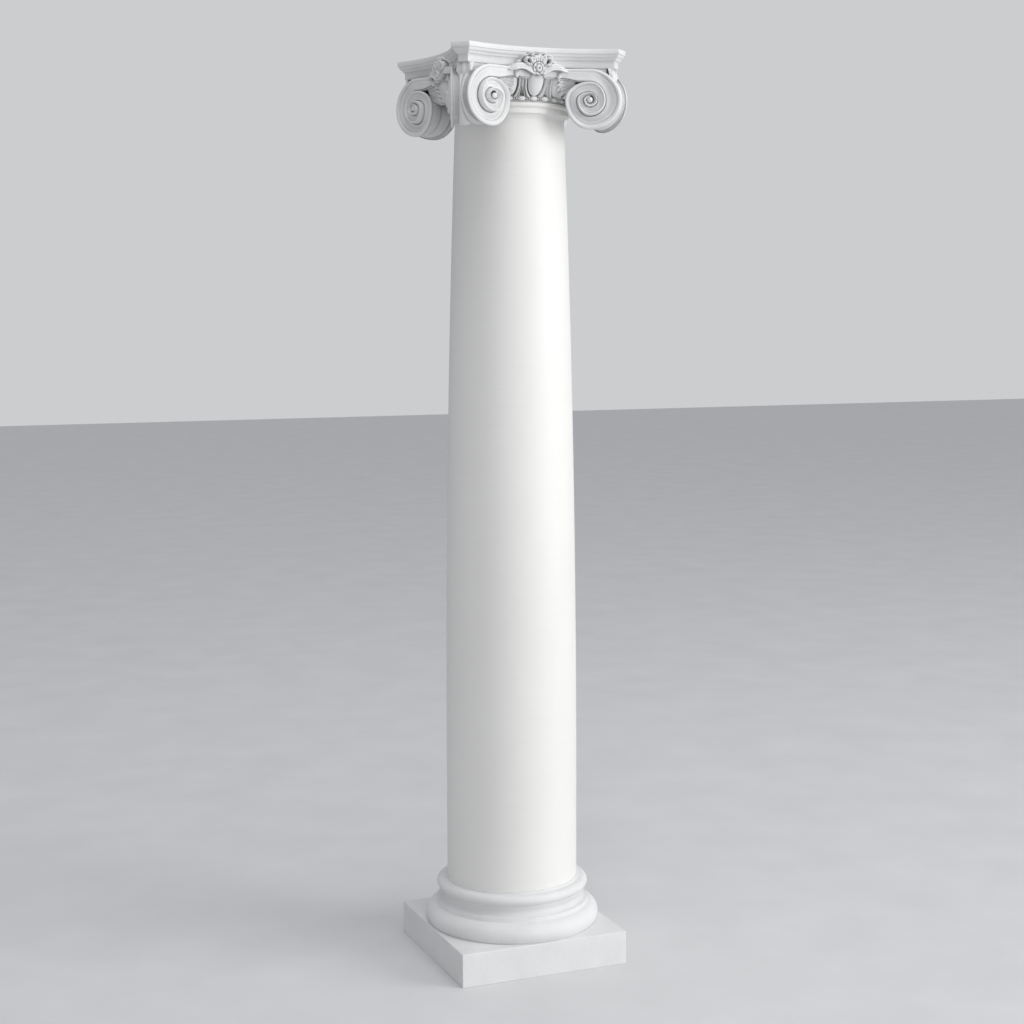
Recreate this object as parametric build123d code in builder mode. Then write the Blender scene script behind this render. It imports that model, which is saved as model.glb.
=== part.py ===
from build123d import *
from math import cos, radians, sin, sqrt
import os

os.makedirs("parts", exist_ok=True)

# Whole column: it stands on the floor at z = 0, centred on the Z axis, its front towards -Y
column_height = 3048.0
fit_clearance = 0.3

# Square plinth
plinth_width = 596.0
plinth_height = 113.0
plinth_bevel = 2.5

# Hollow shaft: straight at the foot, then one long swelling curve up to the neck
foot_diameter = 447.6
neck_diameter = 363.0
shaft_wall = 12.0
straight_height = 590.0

# Neck mouldings at the top of the shaft, from the top down: astragal, fillet, cavetto
astragal_height = 19.0
astragal_projection = 23.0
neck_fillet_height = 18.0
neck_fillet_projection = 15.0
cavetto_height = 17.0

# Base moulding, from the top down: lip, upper torus, fillet, scotia, fillet, lower torus
lip_thickness = 5.0
lip_height = 9.0
upper_torus_height = 35.0
upper_torus_projection = 36.5
upper_torus_shoulder = 20.0
upper_fillet_height = 14.0
upper_fillet_projection = 20.5
scotia_height = 24.0
scotia_hollow = 4.0
lower_fillet_height = 14.0
lower_fillet_projection = 38.0
lower_torus_height = 64.0
lower_torus_equator = 24.0

# The lower torus swells out as far as the plinth's sides, less a margin; its foot is tucked in
lower_torus_margin = 0.0
lower_torus_tuck = 8.2

# Capital, seated on the shaft's astragal
capital_height = 165.0

# Abacus: a square with hollowed sides and cut corners, moulded all round
abacus_reach = 302.6
horn_half = 257.4
waist_reach = 240.0
abacus_thickness = 60.0
fascia_height = 17.0
ogee_setback = 4.0
ogee_height = 18.0
ogee_depth = 11.0
ogee_swell = 3.3
ogee_rise = 10.8
band_setback = 20.0

# Channelled band that joins the two volutes of a face, under the abacus
channel_gap = 3.0
channel_height = 40.0
channel_setback = 2.0
channel_reach = 300.0

# Bell with the row of beads and the egg-and-dart
bead_height = 16.0
bead_projection = 30.0
bead_count = 32
bead_notch = 5.0
bell_foot_projection = 20.0
bell_top_projection = 55.0
bell_neck_projection = 38.0
egg_width = 48.0
egg_height = 54.0
egg_relief = 16.0
egg_bevel = 5.0
egg_lean = 25.0
egg_lift = 28.0
husk_border = 8.0
husk_relief = 8.0
dart_width = 14.0
dart_waist = 9.0
dart_relief = 9.0
egg_step = 22.5

# Volutes: where the eye lies on a face, how far the disc is splayed, and the radii of the
# three turns at the outer side, the bottom, the inner side and the next top
eye_across = 168.0
eye_forward = 271.5
eye_drop = 162.0
eye_radius = 12.0
eye_relief = 16.0
eye_bevel = 3.0
splay_angle = 21.0
outer_turn = (101.0, 91.0, 78.0)
middle_turn = (52.0, 49.0, 41.0, 26.0)
inner_turn = (25.0, 22.0, 20.0, 14.0)
turn_relief = 5.0

# Rim of a scroll, from its face to the middle of the corner: edge bead, groove and body, each
# with its width across the corner and how far it stands out past the edge bead
rim_strips = ((16.0, 0.0), (5.0, -11.0), (110.0, -7.0))

# Tongue leaf under each horn
tongue_width = 40.0
tongue_length = 44.0
tongue_reach = 389.0
tongue_depth = 40.0
tongue_round = 6.0

# Flower in the middle of each face, with a leaf to each side
flower_drop = 49.0
petal_count = 8
petal_length = 34.0
petal_width = 22.0
petal_across = 38.0
petal_up = 20.0
flower_relief = 14.0
boss_width = 44.0
boss_height = 52.0
boss_relief = 26.0
boss_bevel = 7.0
leaf_drop = 72.0
leaf_length = 104.0
leaf_width = 32.0
leaf_belly = 21.0
leaf_relief = 9.0

# Half palmette in the angle between the egg row and each volute
palmette_angle = 21.0
palmette_drop = 98.0
palmette_reach = 238.0
palmette_lobes = 4
palmette_start = 245.0
palmette_turn = 25.0
palmette_lobe_length = 50.0
palmette_lobe_width = 15.0
palmette_relief = 10.0

# Values that follow from the sizes above
foot_radius = foot_diameter / 2
neck_radius = neck_diameter / 2
collar_radius = foot_radius + fit_clearance
shaft_top = column_height - capital_height
core_radius = neck_radius - shaft_wall

# Plinth: a square slab with bevelled edges, bored for the foot of the shaft
with BuildPart() as plinth:
    with BuildSketch(Plane.XY):
        Rectangle(plinth_width, plinth_width)
    extrude(amount=plinth_height)
    chamfer(plinth.edges().filter_by(Axis.Z), plinth_bevel)
    chamfer(plinth.faces().sort_by(Axis.Z)[-1].edges(), plinth_bevel)
    with BuildSketch(Plane.XY):
        Circle(collar_radius)
    extrude(amount=plinth_height, mode=Mode.SUBTRACT)
plinth.part.label = "plinth"
export_step(plinth.part, "parts/plinth.step")

# Base moulding: one ring turned about the shaft, resting on the plinth
lower_torus_top = plinth_height + lower_torus_height
lower_fillet_top = lower_torus_top + lower_fillet_height
scotia_top = lower_fillet_top + scotia_height
upper_fillet_top = scotia_top + upper_fillet_height
upper_torus_top = upper_fillet_top + upper_torus_height
base_top = upper_torus_top + lip_height
lip_radius = collar_radius + lip_thickness
upper_torus_radius = foot_radius + upper_torus_projection
upper_fillet_radius = foot_radius + upper_fillet_projection
lower_fillet_radius = foot_radius + lower_fillet_projection
lower_torus_radius = plinth_width / 2 - lower_torus_margin
lower_torus_foot_radius = lower_torus_radius - lower_torus_tuck

with BuildPart() as base:
    with BuildSketch(Plane.XZ):
        with BuildLine():
            Polyline(
                (lower_torus_foot_radius, plinth_height),
                (collar_radius, plinth_height),
                (collar_radius, base_top),
                (lip_radius, base_top),
                (lip_radius, upper_torus_top),
                (foot_radius + upper_torus_shoulder, upper_torus_top),
            )
            ThreePointArc(
                (foot_radius + upper_torus_shoulder, upper_torus_top),
                (upper_torus_radius, upper_torus_top - upper_torus_height / 2),
                (upper_fillet_radius, upper_fillet_top),
            )
            Line((upper_fillet_radius, upper_fillet_top), (upper_fillet_radius, scotia_top))
            ThreePointArc(
                (upper_fillet_radius, scotia_top),
                (upper_fillet_radius - scotia_hollow / 2, (scotia_top + lower_fillet_top) / 2),
                (lower_fillet_radius, lower_fillet_top),
            )
            Line((lower_fillet_radius, lower_fillet_top), (lower_fillet_radius, lower_torus_top))
            ThreePointArc(
                (lower_fillet_radius, lower_torus_top),
                (lower_torus_radius, plinth_height + lower_torus_equator),
                (lower_torus_foot_radius, plinth_height),
            )
        make_face()
    revolve(axis=Axis.Z)
base.part.label = "base"
export_step(base.part, "parts/base.step")

# Shaft: a tapered tube with entasis, its neck mouldings in one piece with it
astragal_bottom = shaft_top - astragal_height
neck_fillet_bottom = astragal_bottom - neck_fillet_height
cavetto_bottom = neck_fillet_bottom - cavetto_height
astragal_radius = neck_radius + astragal_projection
neck_fillet_radius = neck_radius + neck_fillet_projection

with BuildPart() as shaft:
    with BuildSketch(Plane.XZ):
        with BuildLine():
            Polyline(
                (foot_radius - shaft_wall, straight_height),
                (foot_radius - shaft_wall, 0),
                (foot_radius, 0),
                (foot_radius, straight_height),
            )
            Bezier(
                (foot_radius, straight_height),
                (foot_radius, (straight_height + cavetto_bottom) / 2),
                (neck_radius, cavetto_bottom),
            )
            TangentArc(
                (neck_radius, cavetto_bottom),
                (neck_fillet_radius, neck_fillet_bottom),
                tangent=(0, 1),
            )
            Polyline(
                (neck_fillet_radius, neck_fillet_bottom),
                (neck_fillet_radius, astragal_bottom),
                (astragal_radius - astragal_height / 2, astragal_bottom),
            )
            ThreePointArc(
                (astragal_radius - astragal_height / 2, astragal_bottom),
                (astragal_radius, astragal_bottom + astragal_height / 2),
                (astragal_radius - astragal_height / 2, shaft_top),
            )
            Polyline(
                (astragal_radius - astragal_height / 2, shaft_top),
                (core_radius, shaft_top),
                (core_radius, cavetto_bottom),
            )
            Bezier(
                (foot_radius - shaft_wall, straight_height),
                (foot_radius - shaft_wall, (straight_height + cavetto_bottom) / 2),
                (core_radius, cavetto_bottom),
            )
        make_face()
    revolve(axis=Axis.Z)
shaft.part.label = "shaft"
export_step(shaft.part, "parts/shaft.step")

# Capital: levels, from the seat on the shaft upwards, and the radii of the bell
bead_top = shaft_top + bead_height
abacus_bottom = column_height - abacus_thickness
channel_top = abacus_bottom - channel_gap
channel_bottom = channel_top - channel_height
fascia_bottom = column_height - fascia_height
ogee_bottom = fascia_bottom - ogee_height
eye_level = column_height - eye_drop
bead_radius = neck_radius + bead_projection
bell_foot_radius = neck_radius + bell_foot_projection
bell_top_radius = neck_radius + bell_top_projection
bell_neck_radius = neck_radius + bell_neck_projection

# Hollowed sides of the abacus: one circle for each side, through the horns and the waist
side_sag = abacus_reach - waist_reach
side_radius = (horn_half**2 + side_sag**2) / (2 * side_sag)
side_center = waist_reach + side_radius
horn_radius = (abacus_reach + horn_half) / sqrt(2)


def moulding_cut(edge, far):
    """Face of what lies outside the moulded edge of the abacus, whose top edge is at `edge`."""
    with BuildSketch() as section:
        with BuildLine():
            Polyline(
                (edge - ogee_setback, fascia_bottom),
                (edge, fascia_bottom),
                (edge, column_height),
                (far, column_height),
                (far, abacus_bottom),
                (edge - band_setback, abacus_bottom),
                (edge - band_setback, ogee_bottom),
                (edge - ogee_setback - ogee_depth, ogee_bottom),
            )
            ThreePointArc(
                (edge - ogee_setback - ogee_depth, ogee_bottom),
                (edge - ogee_setback - ogee_depth + ogee_swell, ogee_bottom + ogee_rise),
                (edge - ogee_setback, fascia_bottom),
            )
        make_face()
    return section.sketch


def wall_plane(angle, radius, height, lean=0):
    """Plane facing outwards, `angle` round from the front, its top leaning out by `lean`."""
    turn = radians(angle)
    tip = radians(lean)
    return Plane(
        origin=(radius * sin(turn), -radius * cos(turn), height),
        x_dir=(cos(turn), sin(turn), 0),
        z_dir=(sin(turn) * cos(tip), -cos(turn) * cos(tip), -sin(tip)),
    )


# What is cut away from one hollowed side and from one corner of the abacus
with BuildPart() as side_cutter:
    with BuildSketch(Plane.YZ):
        add(moulding_cut(-side_center - side_radius, -side_center))
    revolve(axis=Axis((0, -side_center, 0), (0, 0, 1)))

with BuildPart() as corner_cutter:
    with BuildSketch(Plane.XZ):
        add(moulding_cut(horn_radius, horn_radius + abacus_reach))
    extrude(amount=abacus_reach, both=True)

with BuildPart() as abacus:
    with BuildSketch(Plane.XY.offset(abacus_bottom)):
        Rectangle(2 * abacus_reach, 2 * abacus_reach)
        Circle(core_radius, mode=Mode.SUBTRACT)
    extrude(amount=abacus_thickness)
    with PolarLocations(0, 4):
        add(side_cutter.part, mode=Mode.SUBTRACT)
    with PolarLocations(0, 4, start_angle=45):
        add(corner_cutter.part, mode=Mode.SUBTRACT)

# Channelled band under the abacus, hollowed like it
with BuildPart() as channel:
    with BuildSketch(Plane.XY.offset(channel_bottom)):
        Circle(channel_reach)
        with PolarLocations(side_center, 4):
            Circle(side_radius + channel_setback, mode=Mode.SUBTRACT)
        Circle(core_radius, mode=Mode.SUBTRACT)
    extrude(amount=channel_height)

# Bell: astragal ring notched into beads, then the slope that carries the eggs
with BuildPart() as bell:
    with BuildSketch(Plane.XZ):
        with BuildLine():
            ring_core = bead_radius - bead_height / 2
            ThreePointArc(
                (ring_core, shaft_top),
                (bead_radius, shaft_top + bead_height / 2),
                (ring_core, bead_top),
            )
            Polyline(
                (ring_core, bead_top),
                (bell_foot_radius, bead_top),
                (bell_top_radius, channel_bottom),
                (bell_neck_radius, channel_bottom),
                (bell_neck_radius, abacus_bottom),
                (core_radius, abacus_bottom),
                (core_radius, shaft_top),
                (ring_core, shaft_top),
            )
        make_face()
    revolve(axis=Axis.Z)
    with BuildSketch(Plane.XY.offset(shaft_top)):
        with PolarLocations(bead_radius, bead_count, start_angle=180 / bead_count):
            Rectangle(bead_notch * sqrt(2), bead_notch * sqrt(2), rotation=45)
    extrude(amount=bead_height, mode=Mode.SUBTRACT)

# Seat of the eggs and darts on the slope of the bell
egg_radius = (bell_foot_radius + bell_top_radius) / 2
egg_level = bead_top + egg_lift


def egg_at(angle):
    """One egg standing proud of its husk."""
    seat = wall_plane(angle, egg_radius, egg_level, egg_lean)
    with BuildPart() as egg:
        with BuildSketch(seat):
            Ellipse(egg_width / 2, egg_height / 2)
        extrude(amount=egg_relief)
        chamfer(egg.edges().sort_by(Axis(seat.origin, seat.z_dir))[-1], egg_bevel)
        with BuildSketch(seat.offset(-husk_relief)):
            Ellipse(egg_width / 2 + husk_border, egg_height / 2 + husk_border)
        extrude(amount=2 * husk_relief)
    return egg.part


def dart_at(angle):
    """Arrow-shaped dart, its point down."""
    with BuildPart() as dart:
        with BuildSketch(wall_plane(angle, egg_radius, egg_level, egg_lean)):
            with BuildLine():
                Polyline(
                    (-dart_width / 2, egg_height / 2),
                    (dart_width / 2, egg_height / 2),
                    (dart_waist / 2, 0),
                    (0, -egg_height / 2),
                    (-dart_waist / 2, 0),
                    (-dart_width / 2, egg_height / 2),
                )
            make_face()
        extrude(amount=dart_relief, both=True)
    return dart.part


# Radii of the volute's spiral, a quarter turn apart, from the top of the outer turn
spiral = (channel_top - eye_level, *outer_turn, channel_bottom - eye_level, *middle_turn, *inner_turn)


def turn_face(first, swell=0):
    """Face inside one whole turn of the spiral, its radii grown by `swell`."""
    radii = [radius + swell for radius in spiral[first : first + 5]]
    with BuildSketch() as face:
        with BuildLine():
            for quarter in range(4):
                start, end = radii[quarter : quarter + 2]
                upright = quarter % 2 == 0
                EllipticalCenterArc(
                    (0, 0),
                    x_radius=end if upright else start,
                    y_radius=start if upright else end,
                    start_angle=-90 * quarter,
                    arc_size=90,
                )
            Line((0, radii[4]), (0, radii[0]))
        make_face()
    return face.sketch


# Half of a corner scroll: the disc that faces the front, its turns stepped up to the eye, and
# the rim that runs across the corner to meet the other half
disc = Plane(
    origin=(eye_across, -eye_forward, eye_level),
    x_dir=(cos(radians(splay_angle)), -sin(radians(splay_angle)), 0),
    z_dir=(-sin(radians(splay_angle)), -cos(radians(splay_angle)), 0),
)
across_corner = Vector(1, 1, 0).normalized()
with BuildPart() as half_scroll:
    strip_edge = 0
    for strip_width, swell in rim_strips:
        strip_origin = disc.origin + across_corner * strip_edge
        with BuildSketch(Plane(strip_origin, x_dir=disc.x_dir, z_dir=disc.z_dir)):
            add(turn_face(0, swell))
            with BuildLine():
                Polyline(
                    (0, spiral[4] + swell),
                    (-outer_turn[2], spiral[4] + swell),
                    (-outer_turn[2], spiral[0] + min(swell, 0)),
                    (0, spiral[0] + min(swell, 0)),
                    (0, spiral[4] + swell),
                )
            make_face()
        extrude(amount=strip_width, dir=across_corner)
        strip_edge += strip_width
    with BuildSketch(disc):
        add(turn_face(4))
    extrude(amount=turn_relief)
    with BuildSketch(disc):
        add(turn_face(8))
    extrude(amount=2 * turn_relief)
    with BuildSketch(disc):
        Circle(eye_radius)
    extrude(amount=eye_relief)
    chamfer(half_scroll.edges().sort_by(Axis(disc.origin, disc.z_dir))[-1], eye_bevel)
    split(bisect_by=Plane(origin=(0, 0, 0), z_dir=(1, 1, 0)), keep=Keep.BOTTOM)

# Tongue leaf that hangs between the two volutes of a corner
with BuildPart() as tongue:
    tongue_seat = wall_plane(0, tongue_reach - tongue_depth, abacus_bottom)
    with BuildSketch(tongue_seat):
        Ellipse(tongue_width / 2, tongue_length)
    extrude(amount=tongue_depth)
    split(bisect_by=Plane.XY.offset(abacus_bottom), keep=Keep.BOTTOM)
    fillet(tongue.faces().sort_by(Axis.Y)[0].edges().filter_by(GeomType.ELLIPSE), tongue_round)

# Flower in the middle of a face: an oval ring of petals round a boss
flower_seat = wall_plane(0, waist_reach - band_setback, column_height - flower_drop)
with BuildPart() as flower:
    with BuildSketch(flower_seat):
        for petal in range(petal_count):
            turn = 360 / petal_count * petal
            middle = (petal_across * cos(radians(turn)), petal_up * sin(radians(turn)))
            with Locations(middle):
                Ellipse(petal_length / 2, petal_width / 2, rotation=turn)
    extrude(amount=band_setback + flower_relief)
    with BuildSketch(flower_seat):
        Ellipse(boss_width / 2, boss_height / 2)
    extrude(amount=band_setback + boss_relief)
    chamfer(flower.edges().sort_by(Axis.Y)[0], boss_bevel)

# Leaf that runs from the flower along the channelled band
with BuildPart() as leaf:
    with BuildSketch(wall_plane(0, waist_reach - band_setback, column_height - leaf_drop)):
        with BuildLine():
            ThreePointArc((0, leaf_width / 2), (leaf_length / 2, leaf_belly / 2), (leaf_length, 0))
            ThreePointArc((leaf_length, 0), (leaf_length / 2, -leaf_belly / 2), (0, -leaf_width / 2))
            Line((0, -leaf_width / 2), (0, leaf_width / 2))
        make_face()
    extrude(amount=band_setback + leaf_relief)

# Half palmette: a fan of lobes beside the volute
with BuildPart() as palmette:
    with BuildSketch(wall_plane(palmette_angle, palmette_reach, column_height - palmette_drop)):
        for lobe in range(palmette_lobes):
            turn = palmette_start + palmette_turn * lobe
            reach = palmette_lobe_length / 2
            with Locations((reach * cos(radians(turn)), reach * sin(radians(turn)))):
                Ellipse(reach, palmette_lobe_width / 2, rotation=turn)
    extrude(amount=palmette_relief, both=True)

# Ornament of the right half of a face; each piece is mirrored on the left half
half_face = (
    half_scroll.part,
    leaf.part,
    palmette.part,
    egg_at(egg_step),
    dart_at(egg_step / 2),
)

# Capital: one casting with an open core that carries on from the shaft's
with BuildPart() as capital:
    add(bell.part)
    add(channel.part)
    add(abacus.part)
    for ornament in half_face:
        with PolarLocations(0, 4):
            add(ornament)
        with PolarLocations(0, 4):
            add(mirror(ornament, about=Plane.YZ, mode=Mode.PRIVATE))
    with PolarLocations(0, 4):
        add(egg_at(0))
    with PolarLocations(0, 4):
        add(flower.part)
    with PolarLocations(0, 4, start_angle=45):
        add(tongue.part)
capital.part.label = "capital"
export_step(capital.part, "parts/capital.step")
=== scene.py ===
import math

import bpy
import numpy as np
from mathutils import Matrix, Vector


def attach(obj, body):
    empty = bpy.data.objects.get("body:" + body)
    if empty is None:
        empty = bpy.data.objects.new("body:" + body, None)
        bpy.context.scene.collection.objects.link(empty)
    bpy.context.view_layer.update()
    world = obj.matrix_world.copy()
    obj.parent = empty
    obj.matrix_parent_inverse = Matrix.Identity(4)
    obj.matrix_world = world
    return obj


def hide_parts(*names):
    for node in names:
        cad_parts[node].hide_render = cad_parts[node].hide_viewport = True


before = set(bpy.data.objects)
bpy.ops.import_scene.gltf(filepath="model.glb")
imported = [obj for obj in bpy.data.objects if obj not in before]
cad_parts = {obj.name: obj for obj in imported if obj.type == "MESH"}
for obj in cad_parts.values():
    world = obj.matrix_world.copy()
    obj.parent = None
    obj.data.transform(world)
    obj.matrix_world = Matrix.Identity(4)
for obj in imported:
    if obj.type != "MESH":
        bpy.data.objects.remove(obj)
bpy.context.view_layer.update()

# Everything is worked out in millimetres and written to the meshes in metres
MM = 0.001

# Levels of the column, from the floor up
PLINTH_HEIGHT = 113.0
BASE_TOP = 273.0
ENTASIS_START = 590.0
NECK_LEVEL = 2829.0
SHAFT_TOP = 2883.0
BEAD_TOP = 2899.0
BAND_BOTTOM = 2945.0
ABACUS_BOTTOM = 2988.0
COLUMN_HEIGHT = 3048.0

# Radii and half widths
PLINTH_HALF = 298.0
FOOT_RADIUS = 223.8
NECK_RADIUS = 181.5
CORE_RADIUS = 169.5
WALL = 12.0
FOOT_BORE = FOOT_RADIUS + 0.3

# Plan of the abacus: hollow sides between cut-off horns
ABACUS_REACH = 302.6
HORN_HALF = 257.4
WAIST = 240.0
SIDE_SAG = ABACUS_REACH - WAIST
SIDE_RADIUS = (HORN_HALF**2 + SIDE_SAG**2) / (2 * SIDE_SAG)
SIDE_CENTER = WAIST + SIDE_RADIUS
HORN_RADIUS = (ABACUS_REACH + HORN_HALF) / math.sqrt(2)

# Shape tools


class Shell:
    """Gathers grids of points, in millimetres, into one mesh."""

    def __init__(self):
        self.points = []
        self.quads = []
        self.shade = []
        self.count = 0

    def grid(self, points, wrap=False, flip=False, shade=None):
        """Adds rows of points joined by quads; `shade` is 0 to 1 for how much painted shade each point
        takes, more where it lies deep.
        """
        rows, columns = points.shape[:2]
        index = self.count + np.arange(rows * columns).reshape(rows, columns)
        if wrap:
            index = np.concatenate([index, index[:, :1]], axis=1)
        quads = np.stack([index[:-1, :-1], index[:-1, 1:], index[1:, 1:], index[1:, :-1]], axis=-1)
        quads = quads.reshape(-1, 4)
        if flip:
            quads = quads[:, ::-1]
        if shade is None:
            shade = np.zeros(rows * columns)
        self.points.append(points.reshape(-1, 3))
        self.quads.append(quads)
        self.shade.append(np.clip(shade, 0, 1).reshape(-1))
        self.count += rows * columns

    def copy(self, other, place, mirrored=False):
        """Adds another shell, moved by a function of its points."""
        points = np.concatenate(other.points)
        quads = np.concatenate(other.quads)
        self.points.append(place(points))
        self.quads.append((quads[:, ::-1] if mirrored else quads) + self.count)
        self.shade.append(np.concatenate(other.shade))
        self.count += len(points)

    def piece(self, name, material, slot, nodes=(), sharp=38.0):
        """Makes the Blender object, riding on the column, in place of the CAD nodes named."""
        points = np.concatenate(self.points) * MM
        quads = np.concatenate(self.quads)
        mesh = bpy.data.meshes.new(name)
        mesh.from_pydata(points.tolist(), [], quads.tolist())
        # Painted shade for the material, darker in hollows and creases, kept as a point attribute
        painted_shade = mesh.attributes.new("painted_shade", "FLOAT", "POINT")
        painted_shade.data.foreach_set("value", np.concatenate(self.shade).astype(np.float32))
        mesh.shade_smooth()
        mesh.set_sharp_from_angle(angle=math.radians(sharp))
        mesh.materials.append(material)
        obj = bpy.data.objects.new(name, mesh)
        bpy.context.scene.collection.objects.link(obj)
        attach(obj, "root")
        for node in nodes:
            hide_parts(node)


class Relief:
    """Heights over a grid of (x, z) places, built up from forms laid over each other."""

    def __init__(self, across, upward, rows, columns, ground):
        self.x = np.linspace(*across, columns)[None, :] + np.zeros((rows, 1))
        self.z = np.linspace(*upward, rows)[:, None] + np.zeros((1, columns))
        self.side = np.abs(self.x)
        self.height = np.full_like(self.x, ground)

    def add(self, form, where=True):
        """Lays a form on top inside the mask."""
        self.height = np.where(where, np.maximum(self.height, form), self.height)

    def cut(self, form, where=True):
        """Cuts down to a form inside the mask."""
        self.height = np.where(where, np.minimum(self.height, form), self.height)

    def on_sheet(self, y, normal_x, normal_y):
        """Points of the grid raised along the normals of the sheet that it lies on."""
        return np.stack([self.x + normal_x * self.height, y + normal_y * self.height, self.z], axis=-1)

    def ellipse(self, center, radii, lean=0.0, mirrored=True):
        """Distance from an ellipse's centre, 1 on the ellipse; mirrored has one on each side."""
        a = math.radians(lean)
        dx = (self.side if mirrored else self.x) - center[0]
        dz = self.z - center[1]
        across = (math.cos(a) * dx + math.sin(a) * dz) / radii[0]
        along = (-math.sin(a) * dx + math.cos(a) * dz) / radii[1]
        return np.sqrt(across**2 + along**2)


def smooth(low, high, value):
    """Soft step from 0 at low to 1 at high."""
    part = np.clip((value - low) / (high - low), 0.0, 1.0)
    return part * part * (3 - 2 * part)


def eased(pairs, where):
    """Values between (position, value) pairs, easing from each to the next."""
    result = np.full(where.shape, float(pairs[0][1]))
    for (start, first), (end, last) in zip(pairs, pairs[1:]):
        result = result + (last - first) * smooth(start, end, where)
    return result


def rounded(distance, power=2.0):
    """Height of a rounded form: 1 in its middle, 0 from distance 1 outwards."""
    return np.sqrt(np.maximum(1 - np.minimum(np.abs(distance), 1.0) ** power, 0.0))


def walled(form, distance, slope):
    """The form up to distance 1, with a steep wall outside it."""
    return np.where(distance < 1, form, form - slope * (distance - 1))


def bell_curve(distance, width):
    """Soft ridge or groove: 1 in its middle, fading over the width."""
    return np.exp(-((distance / width) ** 2))


def painted_hollow_shade(height, *sizes):
    """Painted shade in a relief's hollows, from (weight, reach in points, full depth) for each size."""
    shade = np.zeros_like(height)
    for weight, reach, depth in sizes:
        around = height
        for axis in (0, 1):
            total = np.zeros_like(around)
            for step in range(-reach, reach + 1):
                index = np.clip(np.arange(height.shape[axis]) + step, 0, height.shape[axis] - 1)
                total = total + np.take(around, index, axis=axis)
            around = total / (2 * reach + 1)
        shade = shade + weight * np.clip((around - height) / depth, 0.0, 1.0)
    return shade


def turned(points, quarter):
    """Points turned by quarter turns about the column's axis."""
    turn = quarter * math.pi / 2
    c, s = math.cos(turn), math.sin(turn)
    x, y = points[..., 0], points[..., 1]
    plan = np.stack([c * x - s * y, s * x + c * y], axis=-1)
    return np.concatenate([plan, points[..., 2:]], axis=-1)


def mirrored_x(points):
    """Points mirrored about the middle of the front face."""
    return points * np.array([-1.0, 1.0, 1.0])


def mirrored_corner(points):
    """Points mirrored about the plane through the front right corner."""
    return points[:, [1, 0, 2]] * np.array([-1.0, -1.0, 1.0])


def around_axis(radius, angle, level):
    """Points at these radii, bearings and levels about the column's axis."""
    radius, angle, level = np.broadcast_arrays(radius, angle, level)
    return np.stack([radius * np.sin(angle), -radius * np.cos(angle), level], axis=-1)


def bearings(count):
    """Evenly spaced angles round a full circle."""
    return np.linspace(0, 2 * math.pi, count, endpoint=False)


def lathe(shell, profile, columns):
    """A ring from (radius, height) points, turned about the column's axis."""
    profile = np.array(profile, float)
    shell.grid(around_axis(profile[:, :1], bearings(columns)[None, :], profile[:, 1:]), wrap=True)


def arc(center, radii, start, end, count):
    """Points on an ellipse in the profile's plane, angles in degrees."""
    turn = np.radians(np.linspace(start, end, count))
    return [(center[0] + radii[0] * math.cos(t), center[1] + radii[1] * math.sin(t)) for t in turn]


def three_point(a, b, c, count):
    """Points on the circle through a, b and c, from a to c."""
    ax, ay = a
    bx, by = b
    cx, cy = c
    double_area = 2 * (ax * (by - cy) + bx * (cy - ay) + cx * (ay - by))
    far_a, far_b, far_c = ax**2 + ay**2, bx**2 + by**2, cx**2 + cy**2
    ux = (far_a * (by - cy) + far_b * (cy - ay) + far_c * (ay - by)) / double_area
    uy = (far_a * (cx - bx) + far_b * (ax - cx) + far_c * (bx - ax)) / double_area
    start = math.atan2(ay - uy, ax - ux)
    middle = math.atan2(by - uy, bx - ux)
    end = math.atan2(cy - uy, cx - ux)
    sweep = (end - start) % (2 * math.pi)
    if (middle - start) % (2 * math.pi) > sweep:
        sweep -= 2 * math.pi
    radius = math.hypot(ax - ux, ay - uy)
    turn = start + sweep * np.linspace(0, 1, count)
    return [(ux + radius * math.cos(t), uy + radius * math.sin(t)) for t in turn]


# Materials

WHITE = (1.0, 1.0, 1.0)
CASTING_TONES = ((0.69, 0.694, 0.69), (0.745, 0.745, 0.74))
CASTING_SPECK = (0.93, 0.93, 0.93)
# Colour of the painted shade in the casting's hollows and creases
CASTING_PAINTED_SHADE = (0.17, 0.167, 0.16)
SHAFT_TONES = ((0.765, 0.757, 0.735), (0.81, 0.802, 0.782))
SHAFT_RING = (0.975, 0.973, 0.968)
SHAFT_PIT = (0.9, 0.9, 0.89)
FLOOR_TONES = ((0.62, 0.62, 0.62), (0.66, 0.66, 0.66))


def node_tree(name):
    """A new material with its node tree and shader."""
    material = bpy.data.materials.new(name)
    material.use_nodes = True
    tree = material.node_tree
    return material, tree, tree.nodes["Principled BSDF"]


def add_node(tree, kind, **settings):
    """A node with its inputs and settings filled in by name."""
    node = tree.nodes.new(kind)
    for key, value in settings.items():
        if key in node.inputs:
            node.inputs[key].default_value = value
        else:
            setattr(node, key, value)
    return node


def mapped_noise(tree, scale, stretch=(1, 1, 1), detail=4.0, roughness=0.55):
    """Noise in the object's own metres, stretched along its axes."""
    coordinates = add_node(tree, "ShaderNodeTexCoord")
    mapping = add_node(tree, "ShaderNodeMapping", Scale=stretch)
    noise = add_node(tree, "ShaderNodeTexNoise", Scale=scale, Detail=detail, Roughness=roughness)
    tree.links.new(coordinates.outputs["Object"], mapping.inputs["Vector"])
    tree.links.new(mapping.outputs["Vector"], noise.inputs["Vector"])
    return noise.outputs["Fac"]


def ramp(tree, source, low, high, dark, light):
    """Colour from dark at low to light at high."""
    node = add_node(tree, "ShaderNodeValToRGB")
    node.color_ramp.elements[0].position = low
    node.color_ramp.elements[1].position = high
    node.color_ramp.elements[0].color = (*dark, 1)
    node.color_ramp.elements[1].color = (*light, 1)
    tree.links.new(source, node.inputs["Fac"])
    return node.outputs["Color"]


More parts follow.
